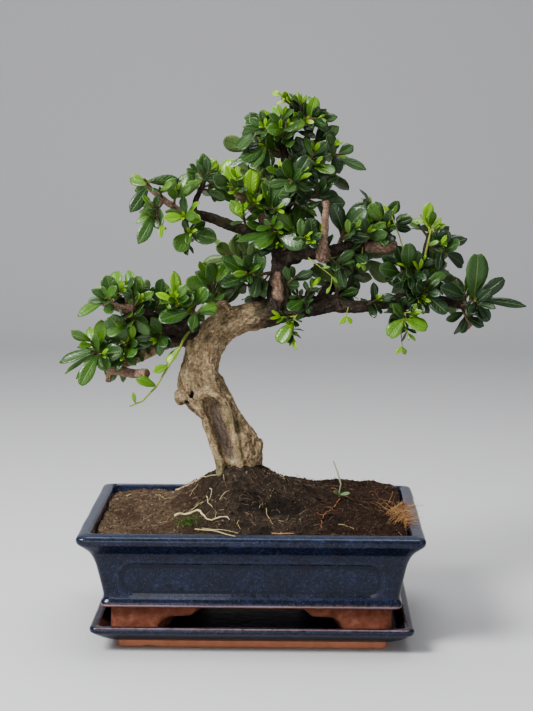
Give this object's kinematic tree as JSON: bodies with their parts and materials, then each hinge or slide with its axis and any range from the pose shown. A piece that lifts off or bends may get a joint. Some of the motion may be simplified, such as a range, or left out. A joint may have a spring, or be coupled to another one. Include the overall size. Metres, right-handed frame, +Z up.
{
  "type": "bonsai tree",
  "caption": "Small fukien tea bonsai with a curved trunk and many leafy shoots, in a rectangular blue glazed pot on a matching drip tray.",
  "frame": {"origin": "centre of the tray's underside, on the surface that it stands on", "axes": "+Z up, +X along the pot's long side to the right in the front view, +Y to the back"},
  "size_m": [0.4165, 0.228, 0.4821],
  "materials": {
    "tray_glaze": "glossy",
    "pot_glaze": "glossy",
    "screen_plastic": "matte",
    "soil": "rough",
    "bark": "rough",
    "leaf": "glossy",
    "young_leaf": "glossy",
    "weed": "satin"
  },
  "bodies": {
    "root": {"tray": "tray_glaze", "pot": "pot_glaze", "drain_screen_left": "screen_plastic", "drain_screen_right": "screen_plastic", "soil": "soil", "tree_wood": "bark", "weed_sprout": "weed", "shoot_left_tip": "leaf", "shoot_left_mid": "leaf", "shoot_left_end": "leaf", "shoot_left_crown": "leaf", "shoot_left_under": "leaf", "shoot_left_yellow": "young_leaf", "shoot_left_big": "leaf", "shoot_left_fill": "leaf", "shoot_left_behind": "leaf", "shoot_left_lower_behind": "leaf", "shoot_back_left_tuft": "leaf", "shoot_top_left_end": "leaf", "shoot_top_left_drop": "leaf", "shoot_top_left_up": "leaf", "shoot_top_left_pair": "leaf", "shoot_top_left_behind": "leaf", "shoot_pale_stub": "young_leaf", "shoot_centre_bright": "leaf", "shoot_knob_front": "leaf", "shoot_knob_low": "leaf", "shoot_centre_left": "leaf", "shoot_upright_front": "leaf", "shoot_centre_left_low": "leaf", "shoot_limb_right_behind": "leaf", "shoot_limb_behind": "leaf", "shoot_limb_round": "leaf", "shoot_limb_hanging": "leaf", "shoot_crown_tip": "young_leaf", "shoot_crown_right": "leaf", "shoot_crown_left": "leaf", "shoot_crown_front": "leaf", "shoot_upper_left": "leaf", "shoot_upper_right": "leaf", "shoot_upper_front": "leaf", "shoot_upper_middle": "leaf", "shoot_crown_back": "leaf", "shoot_top_back": "leaf", "shoot_right_middle": "leaf", "shoot_tall_stub_leaves": "leaf", "shoot_right_upper_big": "leaf", "shoot_right_upper_tip": "leaf", "shoot_right_upper_behind": "leaf", "shoot_right_stem_tip": "young_leaf", "shoot_right_stem_side": "leaf", "shoot_right_stem_left": "leaf", "shoot_right_limb_front": "leaf", "shoot_right_limb_tip": "leaf", "shoot_back_far_right_tuft": "leaf", "shoot_back_low_tuft": "leaf", "shoot_back_right_tuft": "leaf", "shoot_back_upper_tuft": "leaf", "shoot_trio": "leaf", "shoot_hanging_shoot": "young_leaf"}
  },
  "joints": []
}
